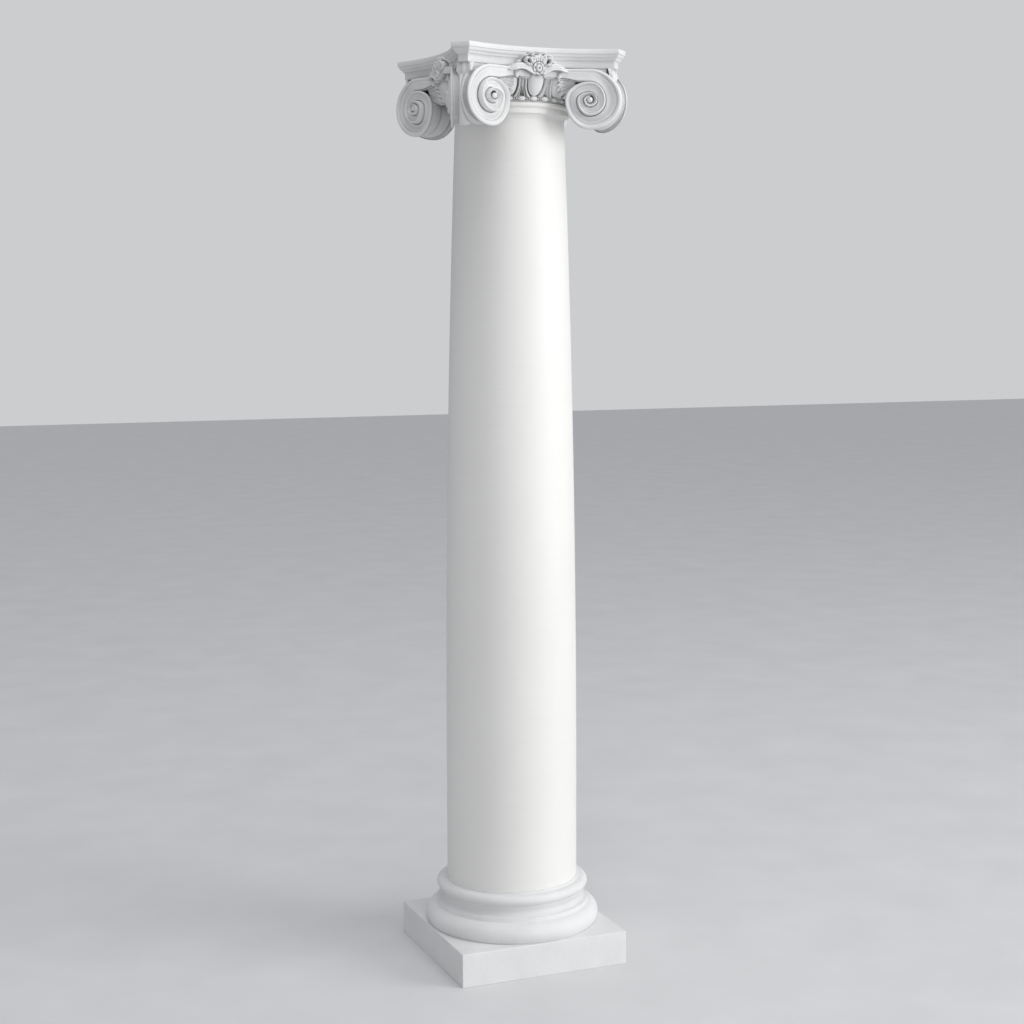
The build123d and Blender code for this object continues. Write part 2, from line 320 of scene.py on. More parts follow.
def multiplied(tree, factor, first, second):
    """First colour multiplied by the second, as far as the factor says."""
    node = add_node(tree, "ShaderNodeMix", data_type="RGBA", blend_type="MULTIPLY")
    node.inputs[0].default_value = factor
    tree.links.new(first, node.inputs[6])
    tree.links.new(second, node.inputs[7])
    return node.outputs[2]


def bump(tree, height, distance, strength, normal=None):
    """Bump in metres, over another bump where one is given."""
    node = add_node(tree, "ShaderNodeBump", Strength=strength, Distance=distance)
    tree.links.new(height, node.inputs["Height"])
    if normal is not None:
        tree.links.new(normal, node.inputs["Normal"])
    return node.outputs["Normal"]


def scaled(tree, source, low, high):
    """Maps 0..1 onto low..high."""
    node = add_node(tree, "ShaderNodeMapRange")
    node.inputs["To Min"].default_value = low
    node.inputs["To Max"].default_value = high
    tree.links.new(source, node.inputs["Value"])
    return node.outputs["Result"]


def painted_shade_share(tree):
    """How far a point takes the painted shade colour: its painted shade attribute, broken up by noise."""
    painted_shade = add_node(tree, "ShaderNodeAttribute", attribute_name="painted_shade")
    broken = mapped_noise(tree, 90.0, detail=3.0)
    share = add_node(tree, "ShaderNodeMath", operation="MULTIPLY", use_clamp=True)
    tree.links.new(painted_shade.outputs["Fac"], share.inputs[0])
    tree.links.new(scaled(tree, broken, 0.55, 1.3), share.inputs[1])
    return share.outputs[0]


def casting_white():
    """Primed moulded casting: cool white, faintly mottled, with painted shade darkening its hollows and
    creases.
    """
    material, tree, shader = node_tree("primed_casting")
    base = ramp(tree, mapped_noise(tree, 7.0, detail=3.0), 0.3, 0.7, *CASTING_TONES)
    speck = mapped_noise(tree, 260.0, detail=5.0, roughness=0.7)
    base = multiplied(tree, 0.6, base, ramp(tree, speck, 0.35, 0.62, CASTING_SPECK, WHITE))
    # Painted shade: the base colour is mixed towards the shade colour by the painted shade attribute
    hollow = add_node(tree, "ShaderNodeMix", data_type="RGBA")
    hollow.inputs[7].default_value = (*CASTING_PAINTED_SHADE, 1)
    tree.links.new(painted_shade_share(tree), hollow.inputs[0])
    tree.links.new(base, hollow.inputs[6])
    tree.links.new(hollow.outputs[2], shader.inputs["Base Color"])
    tree.links.new(scaled(tree, speck, 0.5, 0.72), shader.inputs["Roughness"])
    fine = bump(tree, speck, 0.0007, 0.35)
    soft = bump(tree, mapped_noise(tree, 34.0, detail=2.0), 0.0022, 0.3, fine)
    tree.links.new(soft, shader.inputs["Normal"])
    shader.inputs["Specular IOR Level"].default_value = 0.35
    return material


def shaft_white():
    """Sanded fibreglass tube: warm off-white with faint turning marks and fine pits."""
    material, tree, shader = node_tree("sanded_fibreglass")
    cloud = mapped_noise(tree, 2.2, stretch=(1, 1, 0.5), detail=3.0)
    rings = mapped_noise(tree, 9.0, stretch=(0.6, 0.6, 26.0), detail=4.0)
    pits = mapped_noise(tree, 420.0, detail=4.0, roughness=0.75)
    base = ramp(tree, cloud, 0.3, 0.72, *SHAFT_TONES)
    base = multiplied(tree, 0.6, base, ramp(tree, rings, 0.35, 0.65, SHAFT_RING, WHITE))
    base = multiplied(tree, 0.55, base, ramp(tree, pits, 0.28, 0.42, SHAFT_PIT, WHITE))
    tree.links.new(base, shader.inputs["Base Color"])
    tree.links.new(scaled(tree, rings, 0.42, 0.62), shader.inputs["Roughness"])
    fine = bump(tree, pits, 0.0004, 0.25)
    soft = bump(tree, rings, 0.0005, 0.25, fine)
    broad = bump(tree, mapped_noise(tree, 5.0, stretch=(1, 1, 0.3), detail=1.0), 0.003, 0.22, soft)
    tree.links.new(broad, shader.inputs["Normal"])
    shader.inputs["Specular IOR Level"].default_value = 0.4
    return material


def studio_floor():
    """Pale matt floor, faintly clouded."""
    material, tree, shader = node_tree("studio_floor")
    cloud = mapped_noise(tree, 3.0)
    tree.links.new(ramp(tree, cloud, 0.3, 0.7, *FLOOR_TONES), shader.inputs["Base Color"])
    tree.links.new(scaled(tree, cloud, 0.75, 0.9), shader.inputs["Roughness"])
    return material


# Abacus

# Edge of the abacus from the top down: (setback, drop from the top, shade)
ABACUS_FILLET = (
    (1.4, 0.0, 0.0), (0.4, 0.6, 0.0), (0.0, 1.6, 0.0), (0.0, 14.0, 0.0), (0.3, 15.1, 0.0),
    (1.4, 15.8, 0.0), (3.4, 16.1, 0.0), (4.0, 16.7, 0.05), (4.0, 17.6, 0.05),
)
# Its two curves: setback and drop that each is drawn from, then its depth and height
ABACUS_OVOLO = (4.2, 18.0, 5.6, 8.2)
ABACUS_CAVETTO = (16.2, 27.0, 3.63, 8.0)
ABACUS_BAND = (
    (16.6, 35.1, 0.05), (18.4, 35.4, 0.0), (19.2, 36.1, 0.04), (19.2, 38.4, 0.04), (20.2, 39.0, 0.1),
    (20.4, 48.0, 0.0), (20.6, 56.5, 0.0), (21.4, 59.1, 0.0), (22.6, 60.0, 0.4),
)
ARRIS_CURVE = 1.6
UNDERSIDE_SHADE = 0.45
# Block under each horn, cut back at the corner, that the volutes close in on
BLOCK_SETBACK = 24.0
BLOCK_BACK = 300.0
BLOCK_FRONT = 350.0
# Rows of the blocks' walls as (level, painted shade), darker towards the foot
BLOCK_ROWS = ((2950.0, 0.5), (2970.0, 0.15), (2990.0, 0.0))


def abacus_loop(setback):
    """Plan of the abacus, set back from its edge, as one closed loop of (x, y)."""
    radius = SIDE_RADIUS + setback
    horn = HORN_RADIUS - setback
    k = SIDE_CENTER - math.sqrt(2) * horn
    half = math.asin((-k + math.sqrt(2 * radius**2 - k**2)) / 2 / radius)
    turn = np.linspace(-half, half, 64)
    side = np.stack([radius * np.sin(turn), -SIDE_CENTER + radius * np.cos(turn)], axis=-1)
    end = side[-1]
    ahead = (end - side[-2]) / np.linalg.norm(end - side[-2])
    across = np.array([1.0, 1.0]) / math.sqrt(2)

    # The arris between side and horn is a short curve round the sharp end
    t = np.linspace(0.0, 1.0, 5)[:, None]
    first, last = end - ahead * ARRIS_CURVE, end + across * ARRIS_CURVE
    bend = (1 - t) ** 2 * first + 2 * t * (1 - t) * end + t**2 * last
    span = -(end[0] + end[1]) * math.sqrt(2)
    flat = end + across * np.linspace(ARRIS_CURVE, span - ARRIS_CURVE, 8)[1:-1, None]
    far_bend = -bend[::-1, ::-1]
    chain = np.concatenate([side[1:-1], bend, flat, far_bend])
    return np.concatenate([turned(chain, quarter) for quarter in range(4)])


def abacus_section():
    """(setback, level, shade) down the edge: fillet, ovolo, cavetto and band."""
    section = list(ABACUS_FILLET)
    setback, drop, depth, height = ABACUS_OVOLO
    for t in np.linspace(0.15, 1.35, 9):
        section.append((setback + depth * (1 - math.cos(t)), drop + height * math.sin(t), 0.0))
    setback, drop, depth, height = ABACUS_CAVETTO
    for t in np.linspace(0.35, 1.5, 8):
        section.append((setback - depth * math.cos(t), drop + height * math.sin(t), 0.0))
    section += ABACUS_BAND
    return [(setback, COLUMN_HEIGHT - drop, shade) for setback, drop, shade in section]


def make_abacus():
    """The abacus with its bore, and a block under each horn."""
    shell = Shell()
    section = abacus_section()
    top = abacus_loop(section[0][0])
    under = abacus_loop(section[-1][0])
    bearing = np.arctan2(top[:, 1], top[:, 0])
    bore = CORE_RADIUS * np.stack([np.cos(bearing), np.sin(bearing)], axis=-1)
    rows = []
    for share in (0.0, 0.3, 0.65, 0.93):
        rows.append((bore * (1 - share) + top * share, COLUMN_HEIGHT, 0.0))
    for setback, level, shade in section:
        rows.append((abacus_loop(setback), level, shade))
    for share in (0.9, 0.6, 0.0):
        rows.append((bore * (1 - share) + under * share, ABACUS_BOTTOM, UNDERSIDE_SHADE))
    points = np.array([np.column_stack([plan, np.full(len(plan), level)]) for plan, level, _ in rows])
    shade = np.array([np.full(len(plan), dark) for plan, _, dark in rows])
    shell.grid(points, wrap=True, flip=True, shade=shade)

    block = abacus_loop(BLOCK_SETBACK)
    for quarter in range(4):
        bearing = math.pi / 4 + quarter * math.pi / 2
        forward = block @ np.array([math.cos(bearing), math.sin(bearing)])
        aside = block @ np.array([-math.sin(bearing), math.cos(bearing)])
        here = (forward > BLOCK_BACK) & (forward < BLOCK_FRONT)
        strip = block[here][np.argsort(aside[here])]
        walls = [np.column_stack([strip, np.full(len(strip), level)]) for level, _ in BLOCK_ROWS]
        shade = [np.full(len(strip), dark) for _, dark in BLOCK_ROWS]
        shell.grid(np.array(walls), shade=np.array(shade))
    return shell


# Volutes

EYE = np.array([168.0, -271.5, 2886.0])
EYE_RADIUS = 9.6
EYE_FOOT = 6.0
EYE_RISE = 9.5
SPLAY = math.radians(21.0)
ALONG = np.array([math.cos(SPLAY), -math.sin(SPLAY), 0.0])
# Radii of the spiral, a quarter turn apart, from the top of the outer turn to the eye
SPIRAL = np.array([
    99.0, 103.5, 92.0, 78.0, 59.0, 52.0, 49.0, 41.0, 26.0, 25.0, 21.0, 19.5, 14.0, 12.5, 11.5, 11.0, 10.5,
])
TURNS = 3.0
# The sheet that band and volutes lie on follows the abacus in the middle and splays beside it
SHEET_SETBACK = 2.0
SHEET_BLEND = (60.0, 130.0)
SHEET_MIDDLE = 250.0
# Length of band that counts as one turn where the section changes along it
BAND_PER_TURN = 500.0
BAND_END = -4.0
# How far the band's lower edge rises towards the middle of the face
BAND_ARCH = 8.0
# Underside of the band: (how far down, how far back, shade)
BAND_UNDERSIDE = ((0.0, 3.0, 0.0), (0.9, 4.2, 0.1), (1.2, 6.0, 0.3), (1.2, 13.0, 0.4), (1.2, 39.0, 0.6))

# The section of the scroll from its outer edge inwards: rounded edge, steep inner side, crease,
# lip, then a hollow that runs to the foot of the next turn. Each size is given along the scroll
# as (turns travelled, millimetres), with the band before 0.
EDGE_DROP = 5.0
CREST = ((0.9, 0), (1.15, 6), (1.5, 9.5), (2, 12.5), (2.5, 15), (3, 16))
DROP = ((1, EDGE_DROP), (1.1, 14.5), (1.5, 17), (1.8, 14), (2.1, 17), (3, 12.5))
ROLL = (
    (-0.3, 3), (0, 5), (0.16, 8.5), (0.45, 8.5), (0.75, 4), (1, 4), (1.25, 4.5), (1.75, 4), (2, 3), (3, 2.2),
)
STEEP = (
    (-0.3, 4), (0, 5), (0.16, 6), (0.4, 8), (0.7, 12), (1, 6), (1.25, 5), (1.7, 4.5), (2, 2.5), (3, 1.5),
)
LIP = ((-0.3, 0), (0.04, 0), (0.14, 1.3), (0.35, 1), (0.5, 0), (3, 0))
FALL = (
    (-0.3, 1), (0, 1.5), (0.12, 5.5), (0.45, 5.5), (0.75, 7), (1, 4), (1.25, 5.5), (1.75, 3.5),
    (2, 4), (3, 2),
)
FLOOR = (
    (-0.3, 2), (0, 3.5), (0.2, 9.5), (0.5, 8), (0.75, 3), (1, 6), (1.25, 8.5), (1.75, 6), (2, 7), (3, 4.5),
)
SAG = (
    (-0.3, 0), (0, 0.5), (0.2, 2.6), (0.5, 2.2), (0.75, 1), (1, 1.2), (1.25, 2), (1.75, 1.2),
    (2, 0.8), (3, 0.4),
)
# Fall, floor and sag are all carved this much deeper
CARVING_DEPTH = 1.3
GROOVE_DEPTH = 4.0
GROOVE_SHADE = (0.1, 0.35, 0.8, 0.9)

# Section of the rim behind the edge, on the outside and under the drum, then on its inner
# side: how far across the corner, and how far out
RIM_COVE = (
    (0.0, 0.0), (0.9, -1.5), (2.4, -4.2), (4.8, -7.0), (8.0, -9.2), (11.6, -10.8), (15.4, -11.8),
    (18.6, -12.2), (19.8, -12.7), (21.2, -11.2), (22.6, -9.6),
)
RIM_BEAD = (
    (0.0, 0.0), (2.5, 0.2), (6.0, -0.2), (9.5, -1.2), (12.5, -3.2), (14.5, -6.4), (17.0, -9.6),
    (21.0, -11.4), (25.5, -11.8), (28.5, -10.6), (31.0, -9.0),
)
# Turns between which the one section passes into the other
RIM_BLEND = (0.52, 0.72)
RIM_REACH = 140.0
RIM_BULGE = 4.2
RIM_CUSP = -5.0
# Where less room than this is left behind the section, the bulge shrinks with it
RIM_FULL_ROOM = 30.0


def spiral_radius(turn):
    """Radius of the spiral after so many turns from the top."""
    turn = np.clip(turn, 0.0, 3.9999)
    quarter = np.floor(turn * 4).astype(int)
    part = (turn * 4 - quarter) * math.pi / 2
    a = SPIRAL[quarter]
    b = SPIRAL[quarter + 1]
    return a * b / np.sqrt((b * np.cos(part)) ** 2 + (a * np.sin(part)) ** 2)


def face_sheet(x):
    """Depth y and outward normal of the sheet that a face's band and volutes lie on."""

    def depth(v):
        in_middle = np.minimum(v, SHEET_MIDDLE)
        hollow = -SIDE_CENTER + np.sqrt((SIDE_RADIUS + SHEET_SETBACK) ** 2 - in_middle**2)
        splayed = EYE[1] - math.tan(SPLAY) * (v - EYE[0])
        share = smooth(*SHEET_BLEND, v)
        return hollow * (1 - share) + splayed * share

    slope = depth(x + 0.5) - depth(x - 0.5)
    length = np.sqrt(1 + slope**2)
    return depth(x), slope / length, -1 / length


def sheet_point(u, v, height):
    """Point at (u, v) from the eye, raised from the sheet."""
    x = EYE[0] + u * math.cos(SPLAY)
    y, normal_x, normal_y = face_sheet(x)
    return np.stack([x + normal_x * height, y + normal_y * height, EYE[2] + v + 0 * x], axis=-1)


def scroll_section(travel, outer, inner):
    """Rows of (radius, height) across the scroll, for every place along it."""
    crest, drop, roll, steep, lip = (eased(size, travel) for size in (CREST, DROP, ROLL, STEEP, LIP))
    fall, floor, sag = (CARVING_DEPTH * eased(size, travel) for size in (FALL, FLOOR, SAG))
    small_fall = np.minimum(fall, 3.0)
    rows = [(outer + 0.3, crest - drop - 5.0), (outer + 0.1, crest - drop)]
    for t in np.linspace(0.1, 1.0, 10) * math.pi / 2:
        rows.append((outer - roll * (1 - math.cos(t)), crest - drop * (1 - math.sin(t))))
    for t in (0.2, 0.4, 0.6, 0.8, 0.93):
        rows.append((outer - roll - steep * t, crest - fall * smooth(-0.35, 1.0, t) * (0.4 + 0.6 * t)))
    crease = outer - roll - steep
    start = crease - 3.0
    end = np.minimum(inner + 2.6, start - 1.0)
    lip_height = crest - fall + lip
    rows.append((crease, crest - fall - 0.35 * small_fall))
    rows.append((crease - 1.0, crest - fall - 0.1 * small_fall + 0.3 * lip))
    rows.append((start, lip_height))
    for t in np.linspace(0.12, 1.0, 9):
        hollow = lip_height * (1 - t) + (crest - floor) * t
        rows.append((start + (end - start) * t, hollow - sag * np.sin(math.pi * t**0.8)))
    rows.append((inner + 1.2, crest - floor - GROOVE_DEPTH))
    rows.append((inner - 0.8, crest - floor - GROOVE_DEPTH))
    radius, height = zip(*rows)
    return np.array(radius), np.array(height)


def add_eye(shell):
    """Low dome in the middle of the volute."""
    around = bearings(40)
    rows = []
    for t in np.linspace(0.0, 1.0, 9) * math.pi / 2:
        ring = EYE_RADIUS * math.cos(t) + 0.05
        height = EYE_FOOT + EYE_RISE * math.sin(t) + 0 * around
        rows.append(sheet_point(ring * np.sin(around), ring * np.cos(around), height))
    shell.grid(np.array(rows), wrap=True)


def add_rim(shell, contour, radial, travel):
    """Rim carried straight across the corner, from the edge to the corner's middle plane."""
    across = np.array([1.0, 1.0, 0.0]) / math.sqrt(2)
    radial = radial - (radial @ across)[:, None] * across
    reach = np.minimum(-(contour[:, 0] + contour[:, 1]) / math.sqrt(2), RIM_REACH)
    share = smooth(*RIM_BLEND, travel)
    rows = []
    for (cove_back, cove_out), (bead_back, bead_out) in zip(RIM_COVE, RIM_BEAD):
        back = cove_back + (bead_back - cove_back) * share
        out = cove_out + (bead_out - cove_out) * share
        rows.append((np.minimum(back, reach), out))
    room = np.maximum(reach - back, 0.0)
    bulge = RIM_BULGE * np.minimum(1.0, room / RIM_FULL_ROOM)
    for t in np.linspace(0.08, 1.0, 14):
        step = np.minimum(back, reach) + room * t
        rows.append((step, out + bulge * math.sin(math.pi * t**0.8) + RIM_CUSP * t**7))
    points = [contour + across * step[:, None] + radial * high[:, None] for step, high in rows]
    shade = painted_hollow_shade(np.array([high for _, high in rows]), (1.5, 3, 4.0))
    shell.grid(np.array(points), flip=True, shade=shade)


def make_half_scroll():
    """Right half of a face: band from the middle, then the snail of the volute, and its rim."""
    shell = Shell()
    band = np.linspace(-EYE[0] / math.cos(SPLAY), BAND_END, 42)
    travel = np.concatenate([band / BAND_PER_TURN, np.linspace(0.0, TURNS, 331)])
    on_band = travel < 0
    turns = np.maximum(travel, 0.0)
    radial_u = np.where(on_band, 0.0, np.sin(2 * math.pi * turns))
    radial_v = np.where(on_band, 1.0, np.cos(2 * math.pi * turns))
    base_u = np.where(on_band, travel * BAND_PER_TURN, 0.0)
    outer = spiral_radius(turns)
    arch = BAND_ARCH * smooth(-30.0, -85.0, base_u)
    inner = spiral_radius(turns + 1.0) + np.where(on_band, arch, 0.0)

    radius, height = scroll_section(travel, outer, inner)
    shade = painted_hollow_shade(height, (0.9, 2, 3.8), (0.6, 5, 8.0))
    # Painted shade in the groove at the foot of the next turn
    shade[-4:] = np.maximum(shade[-4:], np.array(GROOVE_SHADE)[:, None])
    shell.grid(sheet_point(base_u + radius * radial_u, radius * radial_v, height), shade=shade)

    # Underside of the band, back to the bell
    edge = [sheet_point(band, inner[on_band] - down, -back) for down, back, _ in BAND_UNDERSIDE]
    shade = [np.full(len(band), dark) for _, _, dark in BAND_UNDERSIDE]
    shell.grid(np.array(edge), shade=np.array(shade))

    add_eye(shell)

    # The rim starts from the foot of the outer turn's edge
    keep = travel <= 1.0
    edge_u = base_u + (outer + 0.1) * radial_u
    edge_v = (outer + 0.1) * radial_v
    contour = sheet_point(edge_u[keep], edge_v[keep], -EDGE_DROP)
    radial = radial_u[keep][:, None] * ALONG + radial_v[keep][:, None] * np.array([0.0, 0.0, 1.0])
    add_rim(shell, contour, radial, travel[keep])
    return shell


# Flower in the middle of each face

FLOWER_GROUND = -14.0
FLOWER_SETBACK = 20.0
FLOWER_SEED = 7
# How far the abacus stands out past its lower band, as (level, millimetres)
ABACUS_FRONT = ((3008.0, 0.0), (3013.0, 2.0), (3021.0, 8.5), (3030.0, 15.5), (3032.0, 19.5))
ARCH_LEVEL = 2984.0
ARCH_HALF = 71.0
ARCH_RISE = 48.5
ARCH_POWER = 2.3
ARCH_FOOT = 2974.0
ARCH_HEIGHT = 5.0
ARCH_CUP = 8.0
FLUTE_DEPTH = 4.0
FLUTE_ROOT = 2972.0
FLUTES = 8.0
PETAL_LEANS = (-33.0, -23.0, -13.0, -4.0, 5.0, 14.0, 24.0, 34.0)
PETAL_ROOT = 2958.0
PETAL_LENGTH = 66.0
PETAL_HEIGHT = 20.0
PETAL_RIDGE = 6.0
PETAL_TIP_RISE = 7.0
PETAL_VEIN = 2.4
BUDS = 16
BUD_HEIGHT = 26.0
BUD_RISE = 8.0
# Wings: distance from the middle, with the levels of their lower and upper edges
WING_STATIONS = (16, 24, 37, 49, 60, 72, 84, 96, 108)
WING_UNDER = (2960, 2963, 2969.5, 2975, 2977, 2976.5, 2973.5, 2971, 2972)
WING_OVER = (2984, 2987, 2992, 2996, 2997.5, 2996, 2991.5, 2985, 2975)
WING_SPAN = (14.0, 108.0)
WING_HEIGHT = 35.0
# Ellipses beside the middle: centre, half width and half height, and lean in degrees
CUPPED_LOBE = ((47.0, 2963.0), (27.0, 12.5), 12.0)
SWELLING_LOBE = ((77.0, 2962.0), (7.0, 12.0), -18.0)
CURL = ((37.0, 3003.5), (12.5, 15.5), -32.0)
CURL_HOLE = ((34.5, 3003.5), (4.6, 7.6), -32.0)
SMALL_CURL = ((21.0, 3017.5), (5.5, 9.0), -35.0)
CURL_HEIGHT = 34.0
LOBE_HEIGHT = 19.0
LOBE_HOLE = (67.5, 2960.5)
LOBE_HOLE_RADIUS = 4.6
KNOB_LEVEL = 2981.5
KNOB_SIZE = (12.5, 13.0)
KNOB_FOOT = 25.0
KNOB_RISE = 13.5
DIMPLE_DEPTH = 9.0
RING_HEIGHT = 27.0
RING_RADIUS = 20.5
RING_GROOVE = 22.0


def add_arch(flower):
    """Fluted arch with a scalloped rim, cupped behind the petals."""
    angle = np.arctan2(flower.x, flower.z - FLUTE_ROOT)
    groove = 1 - np.abs(np.cos(angle * FLUTES))
    across = (flower.side / ARCH_HALF) ** ARCH_POWER
    upward = (np.abs(flower.z - ARCH_LEVEL) / ARCH_RISE) ** ARCH_POWER
    reach = (across + upward) ** (1 / ARCH_POWER) * (1 + 0.075 * groove)
    lift = np.interp(flower.z, *zip(*ABACUS_FRONT)) + ARCH_HEIGHT
    lift = lift + ARCH_CUP * smooth(0.66, 0.92, reach) - FLUTE_DEPTH * groove**1.4
    lift = np.where(flower.z < ARCH_FOOT, FLOWER_GROUND, lift)
    flower.add(walled(lift, reach, 150.0))


def add_petals(flower, chance):
    """Upright petals that open like a fan, with small curled tips scattered on them."""
    for lean in PETAL_LEANS:
        turn = math.radians(lean)
        along = (flower.z - PETAL_ROOT) * math.cos(turn) + flower.x * math.sin(turn)
        across = flower.x * math.cos(turn) - (flower.z - PETAL_ROOT) * math.sin(turn)
        length = PETAL_LENGTH - 0.22 * abs(lean) + chance.uniform(-3.5, 3.5)
        wide = 3.0 + 5.2 * np.clip(along / length, 0.0, 1.0) ** 0.7
        tip = along / (length * (1 - 0.1 * (across / wide) ** 2))
        petal = PETAL_HEIGHT + chance.uniform(-1.5, 1.5) + PETAL_RIDGE * rounded(across / wide, 2.4)
        petal = petal + PETAL_TIP_RISE * smooth(0.6, 0.93, tip)
        petal = petal - PETAL_VEIN * bell_curve(across, 1.4) * smooth(0.98, 0.85, tip)
        flower.add(walled(petal, tip, 120.0), (np.abs(across) < wide) & (along > 0))
    for _ in range(BUDS):
        place = (chance.uniform(-25.0, 25.0), chance.uniform(2972.0, 3024.0))
        size = (chance.uniform(3.4, 5.6), chance.uniform(4.4, 7.4))
        near = flower.ellipse(place, size, chance.uniform(-40.0, 40.0), mirrored=False)
        flower.add(BUD_HEIGHT + BUD_RISE * rounded(near), near < 1)


def add_wings(flower):
    """Arched leaves that overhang the band; returns how far up the wing each place lies."""
    under = np.interp(flower.side, WING_STATIONS, WING_UNDER)
    over = np.interp(flower.side, WING_STATIONS, WING_OVER)
    part = (flower.z - under) / np.maximum(over - under, 1.0)
    wing = WING_HEIGHT - 11.0 * np.clip(part, 0, 1) ** 1.3 - 7.0 * smooth(80.0, 108.0, flower.side)
    wing = wing - 2.6 * bell_curve(part - 0.34, 0.09) - 2.0 * bell_curve(part - 0.7, 0.08)
    wing = wing - 2.0 * smooth(0.12, 0.0, part)
    spanned = (flower.side > WING_SPAN[0]) & (flower.side < WING_SPAN[1])
    flower.add(wing, spanned & (part > 0) & (part < 1))
    flower.add(wing - 90.0 * np.maximum(part - 1, 0.0), spanned & (part >= 1) & (part < 1.6))
    return part


def add_lobes(flower, part):
    """Two lobes under each wing, one cupped and one swelling, with a drilled hole between."""
    near = flower.ellipse(*CUPPED_LOBE)
    flower.add(LOBE_HEIGHT - 9.0 * np.clip((1 - near) / 0.45, 0, 1), (near < 1) & (part <= 0))
    near = flower.ellipse(*SWELLING_LOBE)
    flower.add(LOBE_HEIGHT - 1.0 + 4.0 * rounded(near), (near < 1) & (part <= 0))
    far = np.hypot(flower.side - LOBE_HOLE[0], flower.z - LOBE_HOLE[1])
    flower.cut(4.0 + 3.2 * far, far < LOBE_HOLE_RADIUS)


def add_curls(flower):
    """Rolled curls at the arch's shoulders; returns the distance from their drilled holes."""
    far = flower.ellipse(*CURL)
    flower.add(CURL_HEIGHT - 80.0 * (far - 0.66) ** 2, far < 1)
    hole = flower.ellipse(*CURL_HOLE)
    flower.cut(np.maximum(-6.0, 34.0 * (hole - 0.35)), hole < 1.25)
    far = flower.ellipse(*SMALL_CURL)
    flower.add(CURL_HEIGHT - 1.0 - 42.0 * (far - 0.7) ** 2, far < 1)
    return hole


def add_knob(flower):
    """Knob with a dimple, in a ring of short petals."""
    around = np.arctan2(flower.x, flower.z - KNOB_LEVEL)
    far = np.hypot(flower.x, flower.z - KNOB_LEVEL)
    ring = RING_HEIGHT + 5.5 * np.abs(np.cos(around * 3.5 + 0.4)) ** 0.6
    flower.height = np.where(far < RING_GROOVE, flower.height - 4.0, flower.height)
    flower.height = np.where(far < RING_RADIUS, ring, flower.height)
    near = flower.ellipse((0.0, KNOB_LEVEL), KNOB_SIZE, mirrored=False)
    knob = KNOB_FOOT + KNOB_RISE * rounded(near, 2.8) - DIMPLE_DEPTH * bell_curve(near, 0.3)
    flower.height = np.where(near < 1.08, knob, flower.height)


def make_flower():
    """Fleuron in the middle of a face: fluted arch, petals, wings, curls and knob."""
    flower = Relief((-114.0, 114.0), (2948.0, 3039.0), 96, 229, FLOWER_GROUND)
    add_arch(flower)
    add_petals(flower, np.random.default_rng(FLOWER_SEED))
    part = add_wings(flower)
    add_lobes(flower, part)
    hole = add_curls(flower)
    add_knob(flower)
    # Painted shade: darker in the relief's hollows, in the curls' drilled holes and in the shadow under each
    # wing
    under_wing = smooth(0.06, -0.14, part) * smooth(-0.9, -0.4, part) * smooth(100.0, 84.0, flower.side)
    shade = painted_hollow_shade(flower.height, (0.95, 2, 4.5), (0.9, 6, 14.0))
    shade = np.maximum(np.maximum(shade, smooth(1.15, 0.8, hole)), 0.45 * under_wing)

    radius = SIDE_RADIUS + FLOWER_SETBACK
    y = -SIDE_CENTER + np.sqrt(radius**2 - flower.x**2)
    normal_x = -flower.x / radius
    shell = Shell()
    shell.grid(flower.on_sheet(y, normal_x, -np.sqrt(1 - normal_x**2)), shade=shade)
    return shell


# Palmettes and tongues

# Lobes of the palmette as (angle below the level, length), from its root beside the volute
PALMETTE_LOBES = ((4.0, 54.0), (19.0, 58.0), (34.0, 62.0), (49.0, 62.0), (64.0, 54.0), (80.0, 46.0))
PALMETTE_ROOT = (126.0, 2952.0)
PALMETTE_GROUND = -70.0
LOBE_HALF_ANGLE = 8.6
LOBE_RISE = 7.5
LOBE_VEIN = 3.4
LOBE_TIP_RISE = 5.0
# How far the palmette lies behind the band's sheet, at its top and further at its foot
PALMETTE_BACK = 20.0
PALMETTE_LEAN = 22.0
# Distance of the tongue's sheet from the column's axis, and its outline
TONGUE_OUT = 353.0
TONGUE_TIP = 2928.0
TONGUE_HALF = 26.0
TONGUE_GROUND = -16.0
TONGUE_ARCH = 9.0
TONGUE_RISE = 5.0
TONGUE_RIB = 1.8
TONGUE_CURL = ((18.0, 2979.0), (6.0, 8.5), -18.0)


def make_palmette():
    """Half palmette that fills the angle between band, egg row and volute, right of a face."""
    palmette = Relief((60.0, 136.0), (2896.0, 2956.0), 70, 84, PALMETTE_GROUND)
    dx, dz = PALMETTE_ROOT[0] - palmette.x, PALMETTE_ROOT[1] - palmette.z
    far = np.hypot(dx, dz)
    angle = np.degrees(np.arctan2(dz, dx))
    for middle, length in PALMETTE_LOBES:
        across = (angle - middle) / LOBE_HALF_ANGLE
        tip = far / (length * (1 - 0.2 * across**2))
        vein = LOBE_VEIN * bell_curve(across, 0.22) * smooth(10.0, 30.0, far) * smooth(1.0, 0.8, tip)
        lobe = LOBE_RISE * rounded(across) * (0.35 + 0.65 * smooth(4.0, 34.0, far)) - vein
        lobe = lobe + LOBE_TIP_RISE * smooth(0.66, 0.9, tip) - 4.0 * smooth(0.9, 1.0, tip)
        palmette.add(walled(lobe, tip, 160.0), np.abs(across) < 1.05)
    leaning = palmette.height - PALMETTE_BACK - PALMETTE_LEAN * smooth(2952.0, 2898.0, palmette.z)
    palmette.height = np.maximum(leaning, PALMETTE_GROUND)
    shell = Shell()
    shade = painted_hollow_shade(palmette.height, (0.8, 2, 4.0), (0.6, 5, 10.0))
    shell.grid(palmette.on_sheet(*face_sheet(palmette.x)), shade=shade)
    return shell


